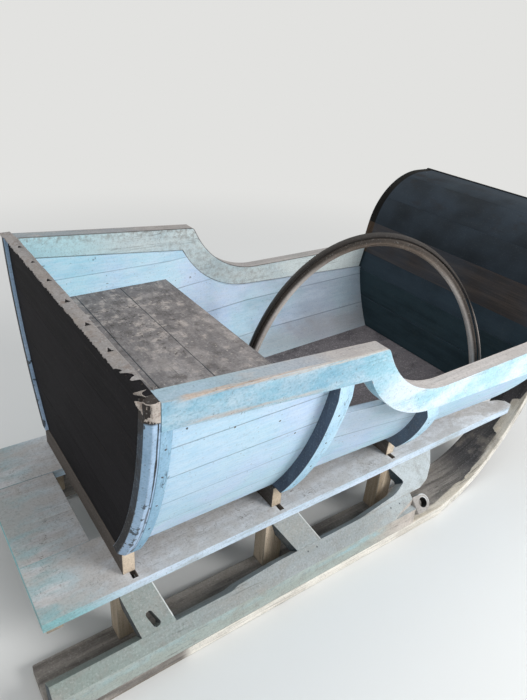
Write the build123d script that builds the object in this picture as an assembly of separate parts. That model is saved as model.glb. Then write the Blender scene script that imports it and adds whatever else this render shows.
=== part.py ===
from build123d import *
import math
import os

# Sizes are in millimetres. X runs forward from the front face of the back panel,
# Y runs to the left, and Z runs up. The lower frame is measured from the ground,
# and the body from the top of the cross beams that carry it.

# Runners: two wide planks laid flat, bent up at the front
RUNNER_HEEL_X = -265
RUNNER_THICK = 37
RUNNER_INNER_Y = 285
RUNNER_OUTER_Y = 452
RUNNER_TAPER_X = 1090
RUNNER_MID_X = 1500
RUNNER_MID_INNER_Y = 255
RUNNER_MID_OUTER_Y = 383
RUNNER_BEND_X = 1200
RUNNER_BEND_RADIUS = 495
RUNNER_TIP_ANGLE = 75
RUNNER_TIP_LENGTH = 130
RUNNER_TIP_INNER_Y = 250
RUNNER_TIP_OUTER_Y = 357
RUNNER_TIP_ROUND = 12

# Crossbar that ties the two runner tips together
TIP_BAR_WIDTH = 45
TIP_BAR_THICK = 40
TIP_BAR_SETBACK = 40
TIP_BAR_HALF = 388

# Posts between the runners and the side boards, given by their rear faces
POST_LENGTH = 176
POST_WIDTH = 65
POST_THICK = 50
POST_OUTER_Y = 335
POST_X = [-54, 407, 873]

# Mortises through the side boards at the front edge of each post, now empty
MORTISE_WIDTH = 16
MORTISE_INNER_Y = 299
MORTISE_OUTER_Y = 331

# Side boards, long planks that lie on the posts and taper to a point at the front
SIDE_BOARD_THICK = 28
SIDE_BOARD_REAR_X = -235
SIDE_BOARD_INNER_Y = 158
SIDE_BOARD_OUTER_Y = 343
SIDE_BOARD_TAPER_X = 1150
SIDE_BOARD_CUT_X = 1558
SIDE_BOARD_CUT_Y = 287
SIDE_BOARD_TIP_X = 1601
SIDE_BOARD_TIP_Y = 326

# Step board at the rear and the bearer under it
STEP_FRONT_X = -52
STEP_GAP = 1
BEARER_REAR_X = -225
BEARER_WIDTH = 40
BEARER_DEPTH = 28
BEARER_HALF = 330

# Cross beams between the side boards and the body: node, rear face, half length
BEAM_DEPTH = 73
BEAM_WIDTH = 34
BEAMS = [
    ("beam_rear", -22, 308),
    ("beam_mid", 441, 308),
    ("beam_front", 916, 308),
    ("beam_dash", 1330, 250),
]

# Splayed side frame: braces and a crook on a 45 degree slope above a lower rail.
# Outlines on the slope are pairs of X and distance down the slope.
BRACE_THICK = 45
BRACE_HEAD_Y = 341
SLOPE_RUN = 101
RAIL_EDGE_Y = 452
LOWER_RAIL_REAR_X = -257
LOWER_RAIL_FRONT_X = 1000
LOWER_RAIL_BEVEL = [(845, 452), (879, 443), (946, 429), (996, 423)]
LOWER_RAIL_REAR_EDGE = [(238, 116), (262, 109), (400, 101)]
POST_NOTCH_GAP = 6
BRACE_REAR = [(-57, -50), (30, -50), (70, 116), (-26, 116)]
BRACE_REAR_HOLE = [(-3, 66), (15, 62), (34, 105), (13, 109)]
BRACE_REAR_HOLE_ROUND = 8
BRACE_MID = [(402, -50), (499, -50), (561, 101), (471, 101)]
CROOK = [
    (876, -50, 0),
    (944, 60, 10),
    (890, 84, 120),
    (722, 101, 0),
    (1000, 101, 0),
    (1042, 86, 40),
    (1084, 46, 40),
    (1137, -50, 0),
]

# Shaft eyes: round lugs on the slope at the front end of the lower rails, where the
# shafts are pinned
EYE_X = 987
EYE_SLOPE = 148
EYE_RADIUS = 29
EYE_HOLE_RADIUS = 16
EYE_THICK = 28
EYE_SOCKET_X = 950

# Body sides: curved sections as station X, half width at the foot, half width at the
# head, head height and radius of the curve
HULL = [
    (0, 290, 476, 502, 1150),
    (493, 290, 476, 502, 1150),
    (815, 300, 474, 276, 900),
    (1500, 330, 474, 242, 900),
]
WALL_THICK = 22
BOARD_GAP = 0.8
STRAKE_SEAMS = [107, 217, 324, 422]
OPENING_SILL = 324

# Top rails: one sawn plank a side that sweeps down in front of the seat
RAIL_THICK = 46
RAIL_OUTER_Y = 500
RAIL_TOP = [(592, 524, 16), (692, 338, 298)]
RAIL_TOP_REAR_Z = 568
RAIL_UNDER = [(549, 449, 0), (639, 280, 330)]
RAIL_UNDER_REAR_Z = 502
RAIL_UNDER_FRONT_Z = 239
RAIL_DRAWN_X = 1520

# Ribs outside the walls: node, rear face at the foot, width, depth, and how far the
# head lies behind the foot
RIBS = [
    ("stile_rear", 0, 26, 20, 0),
    ("rib_mid", 448, 45, 36, 0),
    ("rib_front", 899, 45, 36, 99),
]
RIB_OPEN_NODE = "rib_mid"

# Back panel, and the tin strip nailed along its top edge and torn off at the right.
# The torn edge is pairs of X and Y.
BACK_THICK = 20
BACK_INSET = 17
BACK_POST_THICK = 30
BACK_POST_GROW = 20
BACK_POST_CHAMFER = 13
BACK_SEAMS = [140, 285, 428]
CAP_THICK = 1.5
CAP_OVERHANG = 5
CAP_LEFT_Y = 497
CAP_TORN_EDGE = [(-5, -452), (-14, -402), (-30, -358)]

# Floor and seat
FLOOR_THICK = 22
FLOOR_SEAMS_Y = [-168, -57, 60, 172]
SEAT_HEIGHT = 364
SEAT_THICK = 24
SEAT_SEAMS_X = [150, 300]
SEAT_DEPTH = 470
LEDGER_DEPTH = 32
LEDGER_INNER_Y = 372

# Curved dash: the profile of the face that looks at the seat
DASH_FOOT_X = 1386
DASH_RAKE = 78
DASH_HEIGHT = 641
DASH_BEND_RADIUS = 257
DASH_TIP_X = 1785
DASH_PLANK_THICK = 20
DASH_RIB_DEPTH = 50
DASH_RIB_INNER_Y = 440
DASH_RIB_OUTER_Y = 478
DASH_LOWER_SEAM = 134
DASH_UPPER_SEAMS = [314, 441, 545]
DASH_BEND_SEAM_X = 1640
DASH_STRIP_THICK = 12
DASH_STRIP_DEPTH = 26
DASH_STRIP_RISE = 3
DASH_CLEARING = 200

# Bent bow that stands on the floor from one corner to the other
BOW_X = 1022
BOW_Y = -37
BOW_HALF_WIDTH = 460
BOW_SEMI_HEIGHT = 820
BOW_DROP = 218
BOW_WIDTH = 40
BOW_THICK = 33
BOW_TURN = -37
BOW_LEAN = 5.6

# Heights and places that follow from the sizes above
board_under = RUNNER_THICK + POST_LENGTH
board_top = board_under + SIDE_BOARD_THICK
body_base = board_top + BEAM_DEPTH
dash_front_x = DASH_TIP_X + DASH_STRIP_THICK
middle_x = (RUNNER_HEEL_X + dash_front_x) / 2
rail_inner_y = RAIL_OUTER_Y - RAIL_THICK
post_inner_y = POST_OUTER_Y - POST_THICK
slope_root = BRACE_HEAD_Y + board_under
hull_height = RAIL_TOP_REAR_Z
FAR = 2000
SIDES = [("right", -1), ("left", 1)]


def box(x0, x1, y0, y1, z0, z1):
    """Block between pairs of X, Y and Z."""
    return Pos((x0 + x1) / 2, (y0 + y1) / 2, (z0 + z1) / 2) * Box(x1 - x0, y1 - y0, z1 - z0)


def outline(corners, place):
    """Face inside a closed line of corners. A corner's third number rounds it."""
    corners = [(c[0], c[1], c[2] if len(c) > 2 else 0) for c in corners]
    starts = []
    ends = []
    middles = []
    for i, (a, b, radius) in enumerate(corners):
        here = Vector(a, b)
        before = Vector(*corners[i - 1][:2])
        after = Vector(*corners[(i + 1) % len(corners)][:2])
        back = (before - here).normalized()
        ahead = (after - here).normalized()
        half = math.acos(max(-1, min(1, back.dot(ahead)))) / 2
        reach = radius / math.tan(half)
        starts.append(here + back * reach)
        ends.append(here + ahead * reach)
        depth = radius / math.sin(half) - radius
        middles.append(here + (back + ahead).normalized() * depth if radius else here)
    edges = []
    for i, (a, b, radius) in enumerate(corners):
        if radius:
            points = [place(p.X, p.Y) for p in (starts[i], middles[i], ends[i])]
            edges.append(ThreePointArc(*points))
        last = ends[i]
        nearest = starts[(i + 1) % len(corners)]
        if (nearest - last).length > 1e-6:
            edges.append(Line(place(last.X, last.Y), place(nearest.X, nearest.Y)))
    return Face(Wire(edges))


def side_prism(corners, y0, y1):
    """Outline of X and Z pairs, thickened from y0 to y1."""
    face = outline(corners, lambda x, z: (x, y0, z))
    return extrude(face, amount=y1 - y0, dir=(0, 1, 0))


def plan_prism(corners, z0, z1):
    """Outline of X and Y pairs, thickened from z0 to z1."""
    face = outline(corners, lambda x, y: (x, y, z0))
    return extrude(face, amount=z1 - z0, dir=(0, 0, 1))


def slope_prism(corners, depth):
    """Outline on the splayed side slope, thickened inward by depth. Left side."""
    c = math.sqrt(0.5)
    face = outline(corners, lambda x, s: (x, BRACE_HEAD_Y + s * c, board_under - s * c))
    return extrude(face, amount=depth, dir=(0, -c, -c))


def hull_values(x):
    """Foot, head, head height and radius of the body side at a station."""
    for (x0, *low), (x1, *high) in zip(HULL, HULL[1:]):
        if x <= x1:
            break
    share = (x - x0) / (x1 - x0)
    return [a + (b - a) * share for a, b in zip(low, high)]


def hull_curve(x, grow):
    """Centre and radius of the side's curve at a station, moved out by grow."""
    foot, head, height, radius = hull_values(x)
    chord = math.hypot(head - foot, height)
    reach = math.sqrt(radius**2 - chord**2 / 4)
    centre_y = (foot + head) / 2 - reach * height / chord
    centre_z = height / 2 + reach * (head - foot) / chord
    return centre_y, centre_z, radius + grow


def hull_half(x, z, grow=0):
    """Half width of the body at a station and height, moved out by grow."""
    centre_y, centre_z, radius = hull_curve(x, grow)
    return centre_y + math.sqrt(radius**2 - (z - centre_z) ** 2)


def hull_section(x, grow, low, high):
    """Cross section of the whole body at a station."""
    middle = (low + high) / 2
    left = [(x, hull_half(x, z, grow), z) for z in (low, middle, high)]
    right = [(x, -hull_half(x, z, grow), z) for z in (high, middle, low)]
    edges = [
        ThreePointArc(*left),
        Line(left[2], right[0]),
        ThreePointArc(*right),
        Line(right[2], left[0]),
    ]
    return Face(Wire(edges))


def hull_solid(grow, low, high):
    """Body volume through all stations."""
    faces = [hull_section(station[0], grow, low, high) for station in HULL]
    return loft(faces, ruled=True)


def dash_corners(near, far, low):
    """Side outline of a layer of the dash between two depths behind its face."""
    slant = math.radians(DASH_RAKE)
    points = []
    for depth, order in ((near, 1), (far, -1)):
        line = [
            (DASH_FOOT_X + (low - FLOOR_THICK) / math.tan(slant) + depth / math.sin(slant), low),
            (
                DASH_FOOT_X
                + (DASH_HEIGHT - depth - FLOOR_THICK) / math.tan(slant)
                + depth / math.sin(slant),
                DASH_HEIGHT - depth,
                DASH_BEND_RADIUS - depth,
            ),
            (DASH_TIP_X, DASH_HEIGHT - depth),
        ]
        points += line[::order]
    return points


parts = {}
os.makedirs("parts", exist_ok=True)


def add_pair(node, left):
    """Keep a left piece and its mirror twin."""
    parts[node + "_left"] = left
    parts[node + "_right"] = mirror(left, about=Plane.XZ)


# Runners

turn = math.radians(RUNNER_TIP_ANGLE)
ahead = Vector(math.cos(turn), math.sin(turn))
inward = Vector(-math.sin(turn), math.cos(turn))
bend_reach = RUNNER_BEND_RADIUS * math.tan(turn / 2)
bend_corner = Vector(RUNNER_BEND_X + bend_reach, 0)
bend_end = bend_corner + ahead * bend_reach
tip = bend_end + ahead * RUNNER_TIP_LENGTH
tip_upper = tip + inward * RUNNER_THICK
upper_reach = (RUNNER_BEND_RADIUS - RUNNER_THICK) * math.tan(turn / 2)
runner_side = [
    (RUNNER_HEEL_X, 0),
    (bend_corner.X, 0, RUNNER_BEND_RADIUS),
    (tip.X, tip.Y, RUNNER_TIP_ROUND),
    (tip_upper.X, tip_upper.Y),
    (RUNNER_BEND_X + upper_reach, RUNNER_THICK, RUNNER_BEND_RADIUS - RUNNER_THICK),
    (RUNNER_HEEL_X, RUNNER_THICK),
]
runner_plan = [
    (RUNNER_HEEL_X, RUNNER_INNER_Y),
    (RUNNER_TAPER_X, RUNNER_INNER_Y),
    (RUNNER_MID_X, RUNNER_MID_INNER_Y),
    (tip.X + 1, RUNNER_TIP_INNER_Y),
    (tip.X + 1, RUNNER_TIP_OUTER_Y),
    (RUNNER_MID_X, RUNNER_MID_OUTER_Y),
    (RUNNER_TAPER_X, RUNNER_OUTER_Y),
    (RUNNER_HEEL_X, RUNNER_OUTER_Y),
]
runner = side_prism(runner_side, 0, FAR) & plan_prism(runner_plan, -1, FAR)
add_pair("runner", runner)

bar_corners = []
for along, depth in ((0, 0), (1, 0), (1, 1), (0, 1)):
    corner = (
        bend_end
        + ahead * (TIP_BAR_SETBACK + along * TIP_BAR_WIDTH)
        + inward * (RUNNER_THICK + depth * TIP_BAR_THICK)
    )
    bar_corners.append((corner.X, corner.Y))
parts["tip_bar"] = side_prism(bar_corners, -TIP_BAR_HALF, TIP_BAR_HALF)

# Posts, side boards and the step

posts = []
for x in POST_X:
    posts.append(box(x, x + POST_WIDTH, post_inner_y, POST_OUTER_Y, RUNNER_THICK, board_under))
add_pair("posts", Compound(posts))

side_board_plan = [
    (SIDE_BOARD_REAR_X, SIDE_BOARD_INNER_Y),
    (SIDE_BOARD_TAPER_X, SIDE_BOARD_INNER_Y),
    (SIDE_BOARD_CUT_X, SIDE_BOARD_CUT_Y),
    (SIDE_BOARD_TIP_X, SIDE_BOARD_TIP_Y),
    (SIDE_BOARD_CUT_X, SIDE_BOARD_OUTER_Y),
    (SIDE_BOARD_REAR_X, SIDE_BOARD_OUTER_Y),
]
runner_ahead = [
    (RUNNER_HEEL_X, RUNNER_THICK),
    (RUNNER_BEND_X + upper_reach, RUNNER_THICK, RUNNER_BEND_RADIUS - RUNNER_THICK),
    (tip_upper.X, tip_upper.Y),
    (FAR, FAR),
    (FAR, -FAR),
    (RUNNER_HEEL_X, -FAR),
]
side_board = plan_prism(side_board_plan, board_under, board_top)
side_board = side_board - side_prism(runner_ahead, 0, FAR)
for x in POST_X:
    front = x + POST_WIDTH
    side_board = side_board - box(
        front - MORTISE_WIDTH, front, MORTISE_INNER_Y, MORTISE_OUTER_Y, board_under, board_top
    )
add_pair("side_board", side_board)

step_half = SIDE_BOARD_INNER_Y - STEP_GAP
parts["step_board"] = box(
    SIDE_BOARD_REAR_X, STEP_FRONT_X, -step_half, step_half, board_under, board_top
)
parts["step_bearer"] = box(
    BEARER_REAR_X,
    BEARER_REAR_X + BEARER_WIDTH,
    -BEARER_HALF,
    BEARER_HALF,
    board_under - BEARER_DEPTH,
    board_under,
)

# Cross beams

for node, x, half in BEAMS:
    parts[node] = box(x, x + BEAM_WIDTH, -half, half, board_top, body_base)

# Splayed side frames

below_boards = box(-FAR, FAR, 0, FAR, 0, board_under)
post_notches = []
for x in POST_X:
    rear = x - POST_NOTCH_GAP
    front = x + POST_WIDTH + POST_NOTCH_GAP
    post_notches.append(box(rear, front, 0, POST_OUTER_Y, 0, board_under))


def brace(corners):
    """Piece of the splayed frame, cut off level under the side board and round the posts."""
    piece = slope_prism(corners, BRACE_THICK) & below_boards
    for notch in post_notches:
        piece = piece - notch
    return piece


hole_corners = [(x, s, BRACE_REAR_HOLE_ROUND) for x, s in BRACE_REAR_HOLE]
add_pair("brace_rear", brace(BRACE_REAR) - slope_prism(hole_corners, BRACE_THICK))
add_pair("brace_mid", brace(BRACE_MID))
add_pair("crook", brace(CROOK))

foot_drop = BRACE_THICK * math.sqrt(0.5)
slope_foot_y = BRACE_HEAD_Y + SLOPE_RUN * math.sqrt(0.5)
crease_z = slope_root - RAIL_EDGE_Y
rail_section = [
    (slope_foot_y, slope_root - slope_foot_y),
    (RAIL_EDGE_Y, crease_z),
    (RAIL_EDGE_Y, RUNNER_THICK),
    (slope_foot_y - foot_drop, RUNNER_THICK),
    (slope_foot_y - foot_drop, slope_root - slope_foot_y - foot_drop),
]
rail_face = outline(rail_section, lambda y, z: (LOWER_RAIL_REAR_X, y, z))
lower_rail = extrude(rail_face, amount=LOWER_RAIL_FRONT_X - LOWER_RAIL_REAR_X, dir=(1, 0, 0))
bevel_plan = LOWER_RAIL_BEVEL + [
    (LOWER_RAIL_FRONT_X + 1, LOWER_RAIL_BEVEL[-1][1]),
    (LOWER_RAIL_FRONT_X + 1, RAIL_EDGE_Y + 1),
    (LOWER_RAIL_BEVEL[0][0], RAIL_EDGE_Y + 1),
]
lower_rail = lower_rail - plan_prism(bevel_plan, crease_z, board_under)
lower_rail = lower_rail - box(EYE_SOCKET_X, FAR, 0, FAR, 0, board_under)
rear_edge = [
    *LOWER_RAIL_REAR_EDGE,
    (LOWER_RAIL_REAR_EDGE[-1][0], 0),
    (LOWER_RAIL_REAR_X - 1, 0),
    (LOWER_RAIL_REAR_X - 1, LOWER_RAIL_REAR_EDGE[0][1]),
]
lower_rail = lower_rail - slope_prism(rear_edge, 2 * BRACE_THICK)
add_pair("lower_rail", lower_rail)

eye_corners = [
    (EYE_SOCKET_X, EYE_SLOPE - EYE_RADIUS),
    (EYE_X + EYE_RADIUS, EYE_SLOPE - EYE_RADIUS, EYE_RADIUS),
    (EYE_X + EYE_RADIUS, EYE_SLOPE + EYE_RADIUS, EYE_RADIUS),
    (EYE_SOCKET_X, EYE_SLOPE + EYE_RADIUS),
]
eye_drop = EYE_SLOPE * math.sqrt(0.5)
eye_middle = Pos(EYE_X, BRACE_HEAD_Y + eye_drop, board_under - eye_drop)
eye_hole = eye_middle * Rot(-45, 0, 0) * Cylinder(EYE_HOLE_RADIUS, 3 * EYE_THICK)
add_pair("shaft_eye", slope_prism(eye_corners, EYE_THICK) - eye_hole)

# Body sides, trimmed under the sweep of the top rails and behind the dash ribs

hull_outer = hull_solid(0, 0, hull_height)
hull_inner = hull_solid(-WALL_THICK, -1, hull_height + 1)
under_corners = [
    (-FAR, RAIL_UNDER_REAR_Z),
    (0, RAIL_UNDER_REAR_Z),
    *RAIL_UNDER,
    (RAIL_DRAWN_X, RAIL_UNDER_FRONT_Z),
    (RAIL_DRAWN_X, -FAR),
    (-FAR, -FAR),
]
under_rail = side_prism(under_corners, -FAR, FAR)
dash_rib_front = side_prism(dash_corners(DASH_RIB_DEPTH, DASH_CLEARING, 0), -FAR, FAR)
wall = (hull_outer - hull_inner) & under_rail
wall = wall - dash_rib_front
opening_x = [rib[1] + rib[2] for rib in RIBS if rib[0] == RIB_OPEN_NODE][0]
opening = box(opening_x, FAR, -FAR, 0, OPENING_SILL, FAR)
levels = [0] + STRAKE_SEAMS + [FAR]
for side, sign in SIDES:
    strakes = []
    near, far = sorted((0, sign * FAR))
    for low, high in zip(levels, levels[1:]):
        strake = wall & box(-1, FAR, near, far, low + BOARD_GAP / 2, high - BOARD_GAP / 2)
        if side == "right":
            strake = strake - opening
        strakes += strake.solids()
    parts["strakes_" + side] = Compound(strakes)

# Ribs and rear stiles on the outside of the body

for node, x, width, depth, lean in RIBS:
    head_height = hull_values(x)[2]
    rib_side = [
        (x, 0),
        (x + width, 0),
        (x + width - lean * hull_height / head_height, hull_height),
        (x - lean * hull_height / head_height, hull_height),
    ]
    rib = hull_solid(depth, 0, hull_height) & side_prism(rib_side, 0, RAIL_OUTER_Y)
    add_pair(node, (rib & under_rail) - hull_outer)

# Top rails

rail_corners = [
    (0, RAIL_TOP_REAR_Z),
    *RAIL_TOP,
    (RAIL_DRAWN_X, RAIL_TOP[-1][1]),
    (RAIL_DRAWN_X, RAIL_UNDER_FRONT_Z),
    *RAIL_UNDER[::-1],
    (0, RAIL_UNDER_REAR_Z),
]
dash_ahead = side_prism(dash_corners(0, DASH_CLEARING, 0), -FAR, FAR)
add_pair("rail", side_prism(rail_corners, rail_inner_y, RAIL_OUTER_Y) - dash_ahead)

# Back panel, corner posts and the tin strip

back_section = hull_section(0, -BACK_INSET, 0, RAIL_TOP_REAR_Z)
back = extrude(back_section, amount=BACK_THICK, dir=(-1, 0, 0))
back_levels = [-BOARD_GAP] + BACK_SEAMS + [RAIL_TOP_REAR_Z + BOARD_GAP]
back_boards = []
for low, high in zip(back_levels, back_levels[1:]):
    board = back & box(-FAR, FAR, -FAR, FAR, low + BOARD_GAP / 2, high - BOARD_GAP / 2)
    back_boards += board.solids()
parts["back_boards"] = Compound(back_boards)

post_section = hull_section(0, BACK_POST_GROW, 0, RAIL_TOP_REAR_Z)
back_post = extrude(post_section, amount=BACK_POST_THICK, dir=(-1, 0, 0))
back_post = back_post & box(-FAR, FAR, 0, RAIL_OUTER_Y, 0, FAR)
rear_edges = back_post.edges().filter_by(GeomType.CIRCLE).sort_by(Axis.X)
back_post = chamfer(rear_edges[0], BACK_POST_CHAMFER)
back_inner = extrude(
    hull_section(0, -BACK_INSET, -1, RAIL_TOP_REAR_Z + 1), amount=BACK_POST_THICK + 1, dir=(-1, 0, 0)
)
add_pair("back_post", back_post - back_inner)

cap_plan = [
    (-BACK_POST_THICK, CAP_LEFT_Y),
    (CAP_OVERHANG, CAP_LEFT_Y),
    (CAP_OVERHANG, CAP_TORN_EDGE[0][1]),
    *CAP_TORN_EDGE,
]
parts["back_cap"] = plan_prism(cap_plan, RAIL_TOP_REAR_Z, RAIL_TOP_REAR_Z + CAP_THICK)

# Floor and seat, fitted between the walls

floor_front_x = DASH_FOOT_X + DASH_PLANK_THICK
floor_sides = [-FAR] + FLOOR_SEAMS_Y + [FAR]
floor_boards = []
for near, far in zip(floor_sides, floor_sides[1:]):
    board = box(0, floor_front_x, near + BOARD_GAP / 2, far - BOARD_GAP / 2, 0, FLOOR_THICK)
    floor_boards += (board & hull_inner).solids()
parts["floor_boards"] = Compound(floor_boards)

seat_under = SEAT_HEIGHT - SEAT_THICK
seat_sides = [0] + SEAT_SEAMS_X + [SEAT_DEPTH]
seat_boards = []
for rear, front in zip(seat_sides, seat_sides[1:]):
    board = box(
        rear + BOARD_GAP / 2, front - BOARD_GAP / 2, -FAR, FAR, seat_under, SEAT_HEIGHT
    )
    seat_boards += (board & hull_inner).solids()
parts["seat_boards"] = Compound(seat_boards)
ledger = box(0, SEAT_DEPTH, LEDGER_INNER_Y, FAR, seat_under - LEDGER_DEPTH, seat_under)
add_pair("seat_ledger", ledger & hull_inner)

# Dash: ribs, boards between them, and a strip along the top edge

rail_seat = dash_ahead - under_rail
rib_layer = side_prism(
    dash_corners(0, DASH_RIB_DEPTH, FLOOR_THICK), DASH_RIB_INNER_Y, DASH_RIB_OUTER_Y
)
add_pair("dash_rib", rib_layer & rail_seat)

layer = side_prism(dash_corners(0, DASH_PLANK_THICK, FLOOR_THICK), -FAR, FAR)
lower_top = RAIL_UNDER_FRONT_Z + RAIL_UNDER[0][2]
lower_levels = [FLOOR_THICK - BOARD_GAP / 2, DASH_LOWER_SEAM, lower_top]
lower_boards = []
for low, high in zip(lower_levels, lower_levels[1:]):
    board = layer & box(0, FAR, -FAR, FAR, low + BOARD_GAP / 2, high - BOARD_GAP / 2)
    lower_boards += (board & hull_inner).solids()
parts["dash_boards_lower"] = Compound(lower_boards)

upper_levels = [lower_top] + DASH_UPPER_SEAMS + [FAR]
between_ribs = layer & box(0, FAR, -DASH_RIB_INNER_Y, DASH_RIB_INNER_Y, 0, FAR)
upper_boards = []
for low, high in zip(upper_levels, upper_levels[1:]):
    board = between_ribs & box(0, FAR, -FAR, FAR, low + BOARD_GAP / 2, high - BOARD_GAP / 2)
    if high == FAR:
        board = board - box(
            DASH_BEND_SEAM_X - BOARD_GAP / 2, DASH_BEND_SEAM_X + BOARD_GAP / 2, -FAR, FAR, 0, FAR
        )
    upper_boards += board.solids()
parts["dash_boards_upper"] = Compound(upper_boards)
parts["dash_strip"] = box(
    DASH_TIP_X,
    dash_front_x,
    -DASH_RIB_OUTER_Y,
    DASH_RIB_OUTER_Y,
    DASH_HEIGHT - DASH_STRIP_DEPTH,
    DASH_HEIGHT + DASH_STRIP_RISE,
)

# Bent bow: part of an oval ring, cut level at the floor and scribed to dash and wall

bow_ring = Ellipse(BOW_HALF_WIDTH, BOW_SEMI_HEIGHT) - Ellipse(
    BOW_HALF_WIDTH - BOW_WIDTH, BOW_SEMI_HEIGHT - BOW_WIDTH
)
bow_solid = Pos(0, 0, -BOW_THICK / 2) * extrude(bow_ring, amount=BOW_THICK)
bow_solid = Pos(0, -BOW_DROP, 0) * bow_solid
bow_solid = Rot(90 + BOW_LEAN, 0, 0) * bow_solid
bow_solid = Pos(BOW_X, BOW_Y, FLOOR_THICK) * Rot(0, 0, BOW_TURN) * bow_solid
bow_solid = bow_solid & box(-FAR, FAR, -FAR, FAR, FLOOR_THICK, FAR)
parts["hood_bow"] = bow_solid - dash_ahead - wall

# Pieces of the body are lifted onto the beams, and the whole is centred on its length

frame_nodes = ("runner", "tip_bar", "posts", "side_board", "step", "beam", "brace", "crook")
frame_nodes += ("lower_rail", "shaft_eye")
for node, piece in parts.items():
    lift = 0 if node.startswith(frame_nodes) else body_base
    export_step(Pos(-middle_x, 0, lift) * piece, "parts/" + node + ".step")
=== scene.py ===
import bpy
import bmesh
import math
import random
from mathutils import Matrix, Vector
from mathutils.bvhtree import BVHTree


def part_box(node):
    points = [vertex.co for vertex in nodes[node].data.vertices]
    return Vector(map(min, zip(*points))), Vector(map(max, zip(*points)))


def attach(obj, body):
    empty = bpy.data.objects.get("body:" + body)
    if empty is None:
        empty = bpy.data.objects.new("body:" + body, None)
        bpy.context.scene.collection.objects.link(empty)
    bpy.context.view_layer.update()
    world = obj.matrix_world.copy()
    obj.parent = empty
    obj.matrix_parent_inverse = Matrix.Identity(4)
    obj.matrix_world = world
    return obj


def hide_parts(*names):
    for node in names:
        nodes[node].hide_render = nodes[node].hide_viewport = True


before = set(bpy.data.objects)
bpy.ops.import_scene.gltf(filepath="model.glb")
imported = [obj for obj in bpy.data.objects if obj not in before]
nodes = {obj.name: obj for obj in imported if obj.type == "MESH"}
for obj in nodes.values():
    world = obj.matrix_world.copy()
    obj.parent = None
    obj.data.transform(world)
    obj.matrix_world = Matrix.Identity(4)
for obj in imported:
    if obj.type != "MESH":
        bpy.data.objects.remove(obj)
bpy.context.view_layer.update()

# Runners: two wide planks laid flat on the ground and steamed up at the front. They are
# bare and dirty on top, with painted shadow on the upturned part, old cream paint on the
# outer edge, and are worn to pale raw wood along the rim ahead of the middle, where two
# splinters stand off the right one.


class Shade:
    """One value or colour in a material, so that finishes are written as plain sums."""

    def __init__(self, socket):
        self.socket = socket
        self.tree = socket.id_data

    def node(self, kind, settings=None, sockets=None, output=0):
        """Adds a node. Its settings are set first, then its sockets' values or links."""
        made = self.tree.nodes.new(kind)
        for name, value in (settings or {}).items():
            setattr(made, name, value)
        for name, value in (sockets or {}).items():
            if isinstance(value, Shade):
                self.tree.links.new(value.socket, made.inputs[name])
            else:
                made.inputs[name].default_value = value
        return Shade(made.outputs[output]) if made.outputs else None

    def math(self, operation, first, second=0.0):
        """Adds a sum of one or two values, named as Blender names it."""
        return self.node("ShaderNodeMath", {"operation": operation}, {0: first, 1: second})

    def __add__(self, other):
        return self.math("ADD", self, other)

    def __radd__(self, other):
        return self.math("ADD", other, self)

    def __sub__(self, other):
        return self.math("SUBTRACT", self, other)

    def __rsub__(self, other):
        return self.math("SUBTRACT", other, self)

    def __mul__(self, other):
        return self.math("MULTIPLY", self, other)

    def __rmul__(self, other):
        return self.math("MULTIPLY", other, self)

    def __neg__(self):
        return self * -1

    def __abs__(self):
        return self.math("ABSOLUTE", self)

    def rise(self, low, high):
        """Goes smoothly from 0 at low to 1 at high."""
        sockets = {"Value": self, "From Min": low, "From Max": high}
        return self.node("ShaderNodeMapRange", {"interpolation_type": "SMOOTHSTEP"}, sockets)

    def band(self, low, high, soft):
        """1 between low and high, with soft edges."""
        return self.rise(low - soft, low + soft) * (1 - self.rise(high - soft, high + soft))

    def mix(self, first, second):
        """Colour that goes from the first to the second as this value goes from 0 to 1."""
        return self.node("ShaderNodeMix", {"data_type": "RGBA"}, {0: self, 6: first, 7: second}, 2)

    def streaks(self, along, across, detail=3.0, shift=0.0):
        """Noise on this place, with so many changes a metre along and across the grain."""
        settings = {"operation": "MULTIPLY_ADD"}
        sockets = {0: self, 1: (along, across, across), 2: (shift, shift, shift)}
        drawn = self.node("ShaderNodeVectorMath", settings, sockets)
        sockets = {"Vector": drawn, "Scale": 1.0, "Detail": detail, "Roughness": 0.62}
        return self.node("ShaderNodeTexNoise", None, sockets)


def shade(code):
    """Colour from its code on a paint card, in hex pairs of red, green and blue."""
    values = [int(code[i : i + 2], 16) / 255 for i in (0, 2, 4)]
    linear = [((v + 0.055) / 1.055) ** 2.4 if v > 0.04 else v / 12.92 for v in values]
    return (*linear, 1.0)


def start_tree(owner, kind, output):
    """Clears the nodes of a material or world, and begins again with one node."""
    owner.use_nodes = True
    owner.node_tree.nodes.clear()
    return Shade(owner.node_tree.nodes.new(kind).outputs[output])


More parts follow.
